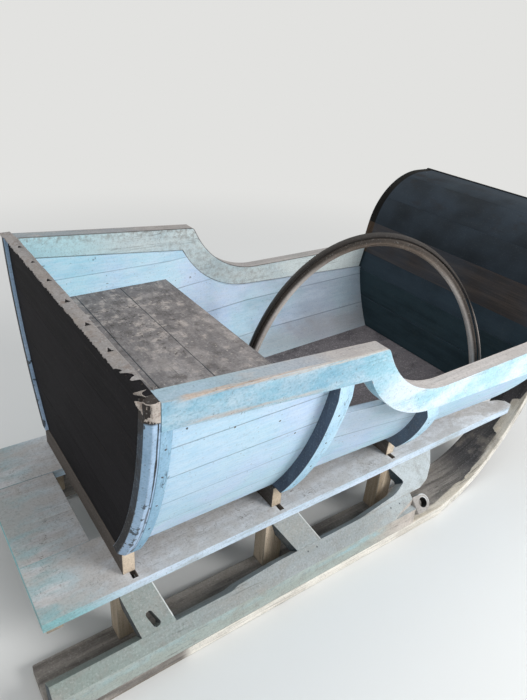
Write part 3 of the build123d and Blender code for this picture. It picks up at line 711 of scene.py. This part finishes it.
top_grime = top_grime * (0.12 + by_crest * 0.50 + swept * 0.30)
rail_colour = top_grime.mix(rail_colour, shade("756a60"))
# Painted shadow of the gap at the far rail's lower inner arris, and dirt along its upper one.
arris_shadow_and_dirt = rail.edge.rise(0.45, 0.80) * rail_inside * far_side * 0.85
rail_colour = arris_shadow_and_dirt.mix(rail_colour, shade("3f3b39"))

# Arrises rubbed to bare wood.
rubbed_noise = rail.grain.streaks(6, 40, 4, 23.0) * 0.6 + rail.fibre * 0.4
strands = rail.grain.streaks(7, 300, 3, 77.0).rise(0.40, 0.56)
inset = RAIL_OUTER_Y - abs(rail_y)
upper_width = 0.0085 - rail_x.rise(-0.42, -0.10) * 0.006
upper_far = inset.math("SQRT", below_top * below_top + inset * inset)
upper_far = upper_far + (rubbed_noise - 0.5) * 0.022 - upper_width
upper_rub = (1 - upper_far.rise(-0.002, 0.002)) * rail_x.rise(-0.745, -0.71)
upper_rub = upper_rub * (1 - rail_x.rise(-0.18, -0.14)) * (0.30 + strands * 0.70)
lower_far = abs(above_foot - 0.007) + (rubbed_noise - 0.5) * 0.040 - 0.0055
lower_rub = (1 - lower_far.rise(-0.0035, 0.0035)) * rail_x.band(-0.70, -0.38, 0.05)
rubbed = upper_rub * 0.95 + lower_rub * (0.3 + strands * 0.5)
rubbed = rubbed * rail_outside * (0.25 + near_side * 0.75)
rubbed = rubbed + rail.edge.rise(0.6, 0.9) * rubbed_noise.rise(0.50, 0.62) * 0.35
rubbed_ahead = (rail_x + rail.patch * 0.2).rise(-0.50, -0.25)
bare_rail = rubbed_ahead.mix(rail.wood("ccb5a2", "b39d8c"), rail.wood("ded7cf", "c3b9af"))
rail_finish = rail.finish(rail_colour, "b1aca8", rubbed * 0.9, bare_rail, dusty=0.2, cracked=0.35)
for side in SIDES:
    worked("rail_" + side, grain_x, rail_finish, worn=0.006, rounded=0.0025)

# Tin strip: sheet iron laid over the top edge of the back panel and the far corner post,
# and nailed down. Small notches are cut in it every hand's width. It is rusty, and torn
# away towards the near corner.

tin = OldWood("old_tin")
tin_rust = (tin.place.streaks(40, 40, 4, 2.0) * 0.6 + tin.speck * 0.4).rise(0.50, 0.62)
scrap_zone = 1 - tin.at[1].rise(-0.47, -0.455)
tin_coat = scrap_zone.mix(tin.paint("969290", "7c7977"), tin.paint("bab1a9", "968c84"))
tin_finish = tin.finish(
    tin_coat, "938c86", tin_rust * 0.5, shade("6f5c4f"), cracked=0.0, rough=0.75, shine=0.15
)
TIN_THICK = 0.0009


def sheet(name, across, along, place, gone):
    """Thin bent sheet. place gives the point, and gone the cells that are torn out."""
    shape = bmesh.new()
    rows = []
    for j in range(along + 1):
        rows.append([shape.verts.new(place(i / across, j / along)) for i in range(across + 1)])
    for j in range(along):
        for i in range(across):
            if not gone((i + 0.5) / across, (j + 0.5) / along):
                shape.faces.new((rows[j][i], rows[j][i + 1], rows[j + 1][i + 1], rows[j + 1][i]))
    loose = [v for v in shape.verts if not v.link_faces]
    bmesh.ops.delete(shape, geom=loose, context="VERTS")
    bmesh.ops.recalc_face_normals(shape, faces=shape.faces)
    grains = [c for v in shape.verts for c in grain_y(v.co)]
    piece = small_piece(name, shape, tin_finish, grains)
    piece.data.shade_smooth()
    stout = piece.modifiers.new("thickness", "SOLIDIFY")
    stout.thickness = TIN_THICK
    stout.offset = 0
    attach(piece, "root")
    return piece


STRIP_REAR = -0.7955
STRIP_FRONT = -0.7605
STRIP_LEFT = 0.497
STRIP_TORN = -0.355
STRIP_RIGHT = -0.456
STRIP_STEPS = 238
TONGUES = ((-0.377, -0.370), (-0.409, -0.398))
TONGUE_REACH = 0.014
HORN_Y = 0.455
NOTCHES = (0.377, 0.251, 0.118, -0.018, -0.150, -0.280)
NOTCH_X = -0.775
NOTCH_HALF = 0.008
panel_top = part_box("back_boards")[1].z
wobble = [chance.uniform(-1, 1) for k in range(400)]


def strip_place(s, t):
    y = STRIP_LEFT + (STRIP_RIGHT - STRIP_LEFT) * t
    step, part = divmod(t * STRIP_STEPS, 1)
    drift = wobble[int(step)] * (1 - part) + wobble[int(step) + 1] * part
    rear = STRIP_REAR + drift * 0.0012
    if y < STRIP_TORN:
        torn = (STRIP_TORN - y) / (STRIP_TORN - STRIP_RIGHT)
        rear += 0.030 * min(1.0, torn * 1.5) ** 0.6 + abs(drift) * 0.006
    if any(low < y < high for low, high in TONGUES):
        rear -= TONGUE_REACH
    x = rear + (STRIP_FRONT - rear) * s
    z = panel_top + 0.0012 + math.sin(y * 47) * 0.0006 + drift * 0.0003
    z += 0.0048 * max(0.0, s - 0.75) - 0.042 * max(0.0, s - 0.92)
    z += 0.0128 * max(0.0, 0.12 - s) * drift
    if y > HORN_Y:
        z += (y - HORN_Y) * 0.12
        x -= (y - HORN_Y) * 0.16
    return (x, y, z)


def strip_gone(s, t):
    x, y, z = strip_place(s, t)
    for notch in NOTCHES:
        half = 0.0065 - (y - notch + NOTCH_HALF) * 0.38
        if abs(y - notch) < NOTCH_HALF and abs(x - NOTCH_X) < half:
            return True
    return False


strip = sheet("tin_strip", 22, STRIP_STEPS, strip_place, strip_gone)
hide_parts("back_cap")

# Tin scraps: what is left of a sheet that was wrapped round the near corner post. The top
# is crumpled into a horn, one corner has curled up, and a nail has torn a hole in it.

post_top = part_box("back_post_right")[1].z
WRAP_DROP = 0.046
WRAP_LEAN = 0.020
WRAP = [
    (-0.7675, -0.4992),
    (-0.7790, -0.4992),
    (-0.7850, -0.4975),
    (-0.7915, -0.4910),
    (-0.7980, -0.4830),
    (-0.8075, -0.4800),
    (-0.8170, -0.4790),
]


def wrap_place(s, t):
    at = s * (len(WRAP) - 1)
    k = min(int(at), len(WRAP) - 2)
    x, y = [a + (b - a) * (at - k) for a, b in zip(WRAP[k], WRAP[k + 1])]
    bump = wobble[int(s * 9) * 7 + int(t * 6)] * 0.0012
    lean = WRAP_LEAN * (1 - t)
    x += lean * max(0.0, s - 0.55)
    y += lean * 0.4 * max(0.0, s - 0.5) + abs(bump) * 0.3
    return (x, y, post_top + 0.002 - t * WRAP_DROP + bump)


def wrap_gone(s, t):
    ragged = wobble[int(s * 26)] * 0.09
    if s > 0.60 and t > 0.12 + (0.92 - s) * 1.6 + ragged * 0.3:
        return True
    if (s - 0.52) ** 2 / 0.0055 + (t - 0.58) ** 2 / 0.035 < 1:
        return True
    return t > 0.86 + ragged + 0.25 * abs(s - 0.45)


sheet("tin_wrap", 34, 24, wrap_place, wrap_gone)


def curl_place(s, t):
    root = Vector((-0.790, -0.462, post_top + 0.001))
    side = Vector((0.012, -0.014, 0.0))
    rise = Vector((0.004, -0.030, 0.030))
    bend = Vector((-0.012, 0.004, 0.0)) * math.sin(t * 2.4)
    return root + side * (s - 0.5) * (1.25 - t) + rise * t * (0.8 + 0.3 * s) + bend


sheet("tin_curl", 6, 10, curl_place, lambda s, t: False)

# Seat: three wide boards laid across on ledgers along the walls and nailed down. They are
# bare, grey and dusty, and darkest along their joints and edges.

seat = OldWood("seat_wood")
seat_stain = (seat.place.streaks(7, 7, 6, 6.0) * 0.6 + seat.patch * 0.4).rise(0.42, 0.60)
seat_far = (seat.at[1] + seat.patch * 0.3).rise(-0.25, 0.45)
seat_wood = seat_stain.mix(seat.wood("a6a09f", "8c8786"), seat.wood("848080", "6a6667"))
seat_wood = (seat_far * 0.62).mix(seat_wood, shade("5a5554"))
seat_dirt = seat.place.streaks(24, 24, 6, 30.0)
seat_wood = (seat_dirt.rise(0.50, 0.68) * 0.65).mix(seat_wood, shade("bdb2aa"))
seat_wood = ((1 - seat_dirt.rise(0.34, 0.48)) * 0.65).mix(seat_wood, shade("534d4a"))
seat_crumb = seat.place.streaks(75, 75, 3, 4.0).rise(0.64, 0.70) * 0.6
seat_wood = seat_crumb.mix(seat_wood, shade("c4bab0"))
seat_lines = 1 - abs(seat.place.streaks(22, 30, 3, 88.0) - 0.5).rise(0.0, 0.010)
seat_lines = seat_lines * seat.place.streaks(6, 6, 3, 91.0).rise(0.48, 0.58)
seat_wood = (seat_lines * 0.5).mix(seat_wood, shade("4b4341"))
seat_clump = seat.place.streaks(5, 5, 3, 103.0).rise(0.46, 0.60)
seat_soil = seat.place.streaks(95, 95, 4, 99.0).rise(0.56, 0.62) * (0.15 + seat_clump * 0.85)
seat_wood = (seat_soil * 0.7).mix(seat_wood, shade("39322e"))
seat_wood = (seat.edge.rise(0.55, 0.90) * 0.6).mix(seat_wood, shade("34302e"))
seat_finish = seat.finish(seat_wood, "a19a97", dusty=0.3, cracked=0.5, seam=0.35)
worked("seat_boards", grain_y, seat_finish, worn=0.006, rounded=0.0006)
for side in SIDES:
    worked("seat_ledger_" + side, grain_x, seat_finish)

# Dash: boards bent between two sawn ribs, curling forward at the top. Teal paint made dark
# as painted shade, near black on the upper part, with one unpainted board below the bend.

dash = OldWood("dash_paint")
dash_worn = dash.level(0.45, 0.3, edge=0.15).rise(0.60, 0.78)
BARE_BOARD_Z = (0.628, 0.755)
bare_band = dash.at[2].band(*BARE_BOARD_Z, 0.0006)
# Painted shade: the teal is painted dark, and near black higher up.
dash_upper_shade = (dash.at[2] + dash.patch * 0.08).rise(0.60, 0.82)
dash_coat_and_shade = dash_upper_shade.mix(dash.paint("2f3d43", "232e33"), dash.paint("1d1d1b", "151514"))
smear = dash.place.streaks(6, 6, 5, 36.0).rise(0.54, 0.70)
dash_coat_and_shade = (smear * 0.15).mix(dash_coat_and_shade, shade("3d4644"))
dash_colour = bare_band.mix(dash_coat_and_shade, dash.wood("54463a", "362d26"))
dash_finish = dash.finish(
    dash_colour, "2f2c2a", dash_worn * 0.3, shade("453f37"),
    dusty=0.2, cracked=0.2, seam=0.6, shine=0.05, gritty=0.12,
)
for height in ("lower", "upper"):
    worked("dash_boards_" + height, grain_y, dash_finish, worn=0.006)
worked("dash_strip", grain_y, dash_finish, worn=0.004)
for side in SIDES:
    worked("dash_rib_" + side, grain_x, dash_finish)

# Bow: a long ash batten bent to an arch, that once held up a hood. It is pale on the
# shaved inner side and dark outside, where a thin strip has sprung away towards its foot.

BOW_CENTRE = Vector((0.256, -0.037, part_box("hood_bow")[0].z))
BOW_TURN = math.radians(-37)
BOW_LEAN = math.radians(5.6)
BOW_REACH = 0.460
BOW_RISE = 0.820
BOW_SUNK = 0.218
along_foot = Vector((math.cos(BOW_TURN), math.sin(BOW_TURN), 0))
behind = Vector((math.sin(BOW_TURN), -math.cos(BOW_TURN), 0))
upward = behind * math.sin(BOW_LEAN) + Vector((0, 0, math.cos(BOW_LEAN)))
through = along_foot.cross(upward)


def bow_point(turn, inset, depth):
    """Point of the arch, by its angle, how far inside its outer line, and how far through."""
    x = (BOW_REACH - inset) * math.cos(turn)
    y = (BOW_RISE - inset) * math.sin(turn) - BOW_SUNK
    return BOW_CENTRE + along_foot * x + upward * y + through * depth


BATTEN_STEPS = 96
BATTEN_LENGTH = 1.9


def batten(name, first, last, outer, thick, deep, finish):
    """Bent batten between two angles of the arch. outer and thick may change along it."""
    shape = bmesh.new()
    rings = []
    grains = []
    for k in range(BATTEN_STEPS + 1):
        share = k / BATTEN_STEPS
        turn = first + (last - first) * share
        inset = outer(share)
        near = thick(share)
        half = deep(share) / 2
        soft = min(near, half) * 0.28
        loop = [(0, -half + soft), (soft, -half), (near - soft, -half), (near, -half + soft)]
        loop += [(a, -b) for a, b in reversed(loop)]
        rings.append([shape.verts.new(bow_point(turn, inset + a, b)) for a, b in loop])
        for j in range(len(loop)):
            grains += [share * BATTEN_LENGTH, j * 0.006, 0.0]
    skin(shape, rings)
    outer_edges = [1.0, 1.0, 0.0, 0.0, 0.0, 0.0, 1.0, 1.0] * len(rings)
    piece = small_piece(name, shape, finish, grains, outer_edges)
    piece.data.shade_smooth()
    piece.data.set_sharp_from_angle(angle=math.radians(50))
    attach(piece, "root")
    return piece


bow = OldWood("bow_wood")
bow_outer = bow.edge.rise(0.2, 0.8)
bow_high = bow.at[2].rise(0.72, 0.90)
bow_pale = bow_high.mix(bow.wood("dcd3cc", "aba098"), bow.wood("8a7a6c", "5c5046"))
bow_colour = bow_outer.mix(bow_pale, bow.wood("4b423b", "2e2823"))
bow_finish = bow.finish(bow_colour, "8a8379", dusty=0.1)
bark = OldWood("bow_bark")
bark_foot = (1 - bark.at[2].rise(0.62, 0.74)) * bark.at[0].rise(0.35, 0.45)
bark_colour = bark_foot.mix(bark.wood("38322e", "211e1c"), bark.wood("b5aaa2", "8b8179"))
bark_finish = bark.finish(bark_colour, "5d5751", dusty=0.1, gritty=0.4)
FOOT_TURN = math.asin(BOW_SUNK / BOW_RISE) + 0.004
WHITTLED_FROM = 0.65
THIN_FROM = 0.55


def past(share, start):
    """Share of the batten's last part that has gone by, which begins at start."""
    return max(0.0, share - start) / (1 - start)


main_bow = batten(
    "bow_batten",
    math.pi - FOOT_TURN,
    FOOT_TURN,
    lambda s: 0.0095 + 0.007 * past(s, WHITTLED_FROM),
    lambda s: 0.0285 + 0.001 * math.sin(s * 11) - 0.006 * past(s, WHITTLED_FROM),
    lambda s: 0.031 + 0.002 * math.sin(s * 7),
    bow_finish,
)
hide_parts("hood_bow")
batten(
    "bow_outer_strip",
    math.pi - FOOT_TURN - 0.10,
    FOOT_TURN + 0.01,
    lambda s: 0.0005,
    lambda s: 0.0085 - 0.0055 * past(s, THIN_FROM),
    lambda s: 0.033 - 0.010 * s,
    bark_finish,
)

# Nails: round iron heads, a little proud and rusty. They hold the ribs and stiles to the
# strakes, the braces to the lower rails, and the seat boards to their ledgers.

iron = OldWood("nail_iron")
iron_coat = iron.paint("646a6e", "4a4c4e")
iron_finish = iron.finish(iron_coat, "5a524b", dusty=0.0, cracked=0.0)
NAIL_RADIUS = 0.0028
NAIL_PROUD = 0.0008
NAIL_SIDES = 9
NAIL_RINGS = ((1.0, -0.4), (1.0, 0.35), (0.62, 0.9))
NAIL_REACH_Y = 0.4992
BODY_Z = 0.314
STILE_X = -0.753
RIB_MID_X = -0.2955
RIB_FRONT_X = 0.156
RIB_FRONT_LEAN = 0.364
SEAT_NAIL_Y = 0.405
SLOPE_FOOT = (0.423, 0.131)
nail_spots = []
for side, sign in SIDES.items():
    inward = Vector((0, -sign, 0))
    for height in (0.045, 0.155, 0.262, 0.365, 0.448):
        z = BODY_Z + height
        nail_spots.append(("stile_rear_" + side, Vector((STILE_X, sign, z)), inward))
        nail_spots.append(("rib_mid_" + side, Vector((RIB_MID_X, sign, z)), inward))
    for height in (0.045, 0.120, 0.200):
        start = Vector((RIB_FRONT_X - height * RIB_FRONT_LEAN, sign, BODY_Z + height))
        nail_spots.append(("rib_front_" + side, start, inward))
    for x in (-0.724, -0.652, -0.575, -0.505, -0.425, -0.340):
        start = Vector((x, sign * SEAT_NAIL_Y, 1.0))
        nail_spots.append(("seat_boards", start, Vector((0, 0, -1))))
    slant = Vector((0, sign, 1)).normalized()
    for x in (-0.775, -0.745, -0.262, -0.228, 0.085, 0.125):
        start = Vector((x, sign * SLOPE_FOOT[0], SLOPE_FOOT[1])) + slant * 0.2
        nail_spots.append(("lower_rail_" + side, start, -slant))
for x, z in ((-0.698, 0.781), (-0.578, 0.734), (-0.450, 0.699), (-0.383, 0.626)):
    nail_spots.append(("strakes_right", Vector((x, -1, z)), Vector((0, 1, 0))))
trees = {}
heads = bmesh.new()
for node, start, toward in nail_spots:
    if node not in trees:
        solid = nodes[node].data
        points = [v.co for v in solid.vertices]
        trees[node] = BVHTree.FromPolygons(points, [tuple(f.vertices) for f in solid.polygons])
    spot, normal = trees[node].ray_cast(start, toward)[:2]
    if spot is None or abs(spot.y) > NAIL_REACH_Y:
        continue
    if normal.dot(toward) > 0:
        normal = -normal
    beside = normal.orthogonal().normalized()
    other = normal.cross(beside)
    rings = []
    for radius, proud in NAIL_RINGS:
        ring = []
        for k in range(NAIL_SIDES):
            angle = k * math.tau / NAIL_SIDES
            out = (beside * math.cos(angle) + other * math.sin(angle)) * NAIL_RADIUS * radius
            ring.append(heads.verts.new(spot + out + normal * NAIL_PROUD * proud))
        rings.append(ring)
    skin(heads, rings)
nail_heads = small_piece("nail_heads", heads, iron_finish)
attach(nail_heads, "root")

# Stage: a plain pale floor that fades into the backdrop, soft light from the right side
# and from above, and the camera at the photo's viewing angle.

bpy.ops.mesh.primitive_circle_add(vertices=96, radius=60, fill_type="NGON")
ground = bpy.context.object
ground.name = "ground"
pale = bpy.data.materials.new("pale_floor")
spread = start_tree(pale, "ShaderNodeTexCoord", "Object")
away = spread.node("ShaderNodeVectorMath", {"operation": "LENGTH"}, {0: spread}, "Value")
SKY_PALE = shade("e2e2e0")


def seen_plain(start):
    """1 where the camera, a gloss or clear glass looks at it, and 0 where it only lights."""
    kinds = ("Is Camera Ray", "Is Glossy Ray", "Is Transmission Ray")
    camera_ray, glossy, clear = [start.node("ShaderNodeLightPath", None, None, k) for k in kinds]
    return camera_ray + glossy + clear


matte = {"Base Color": shade("dededc"), "Roughness": 0.9}
plain = spread.node("ShaderNodeBsdfPrincipled", None, matte)
glow = spread.node("ShaderNodeEmission", None, {"Color": SKY_PALE, "Strength": 1.0})
fade = away.rise(1.7, 4.2) * seen_plain(spread)
both = spread.node("ShaderNodeMixShader", None, {0: fade, 1: plain, 2: glow})
spread.node("ShaderNodeOutputMaterial", None, {"Surface": both})
ground.data.materials.append(pale)

world = bpy.context.scene.world or bpy.data.worlds.new("studio")
bpy.context.scene.world = world
sky = start_tree(world, "ShaderNodeLightPath", "Is Camera Ray")
shown = sky.node("ShaderNodeBackground", None, {"Color": SKY_PALE, "Strength": 1.0})
lit = sky.node("ShaderNodeBackground", None, {"Color": shade("eef1f4"), "Strength": 0.62})
both = sky.node("ShaderNodeMixShader", None, {0: seen_plain(sky), 1: lit, 2: shown})
sky.node("ShaderNodeOutputWorld", None, {"Surface": both})

LAMPS = [
    ("key", (1.9, -3.6, 2.7), 1.8, 165),
    ("fill", (-2.8, -2.2, 2.6), 2.5, 18),
    ("top", (0.6, 1.2, 3.8), 2.6, 32),
]
LAMPS_LOOK_AT = Vector((0, 0, 0.5))
for name, spot, size, power in LAMPS:
    lamp = bpy.data.lights.new(name, "AREA")
    lamp.size = size
    lamp.energy = power
    holder = stand(name, lamp)
    holder.location = spot
    holder.rotation_mode = "QUATERNION"
    holder.rotation_quaternion = (LAMPS_LOOK_AT - Vector(spot)).to_track_quat("-Z", "Y")

CAMERA_SPOT = Vector((-1.14806, -1.29509, 1.49929))
CAMERA_YAW = math.radians(52.93)
CAMERA_PITCH = math.radians(29.56)
CAMERA_ROLL = math.radians(-4.76)
FOCAL_PIXELS = 589.19
PHOTO_HEIGHT = 700
ahead = Vector(
    (
        math.cos(CAMERA_YAW) * math.cos(CAMERA_PITCH),
        math.sin(CAMERA_YAW) * math.cos(CAMERA_PITCH),
        -math.sin(CAMERA_PITCH),
    )
)
level_right = Vector((math.sin(CAMERA_YAW), -math.cos(CAMERA_YAW), 0))
level_down = ahead.cross(level_right)
right = level_right * math.cos(CAMERA_ROLL) + level_down * math.sin(CAMERA_ROLL)
down = level_down * math.cos(CAMERA_ROLL) - level_right * math.sin(CAMERA_ROLL)
lens = bpy.data.cameras.new("camera")
lens.sensor_width = 36
lens.lens = FOCAL_PIXELS * lens.sensor_width / PHOTO_HEIGHT
camera = stand("camera", lens)
rows = [(right[k], -down[k], -ahead[k], CAMERA_SPOT[k]) for k in range(3)]
camera.matrix_world = Matrix((*rows, (0, 0, 0, 1)))
bpy.context.scene.camera = camera
bpy.context.scene.view_settings.view_transform = "Standard"
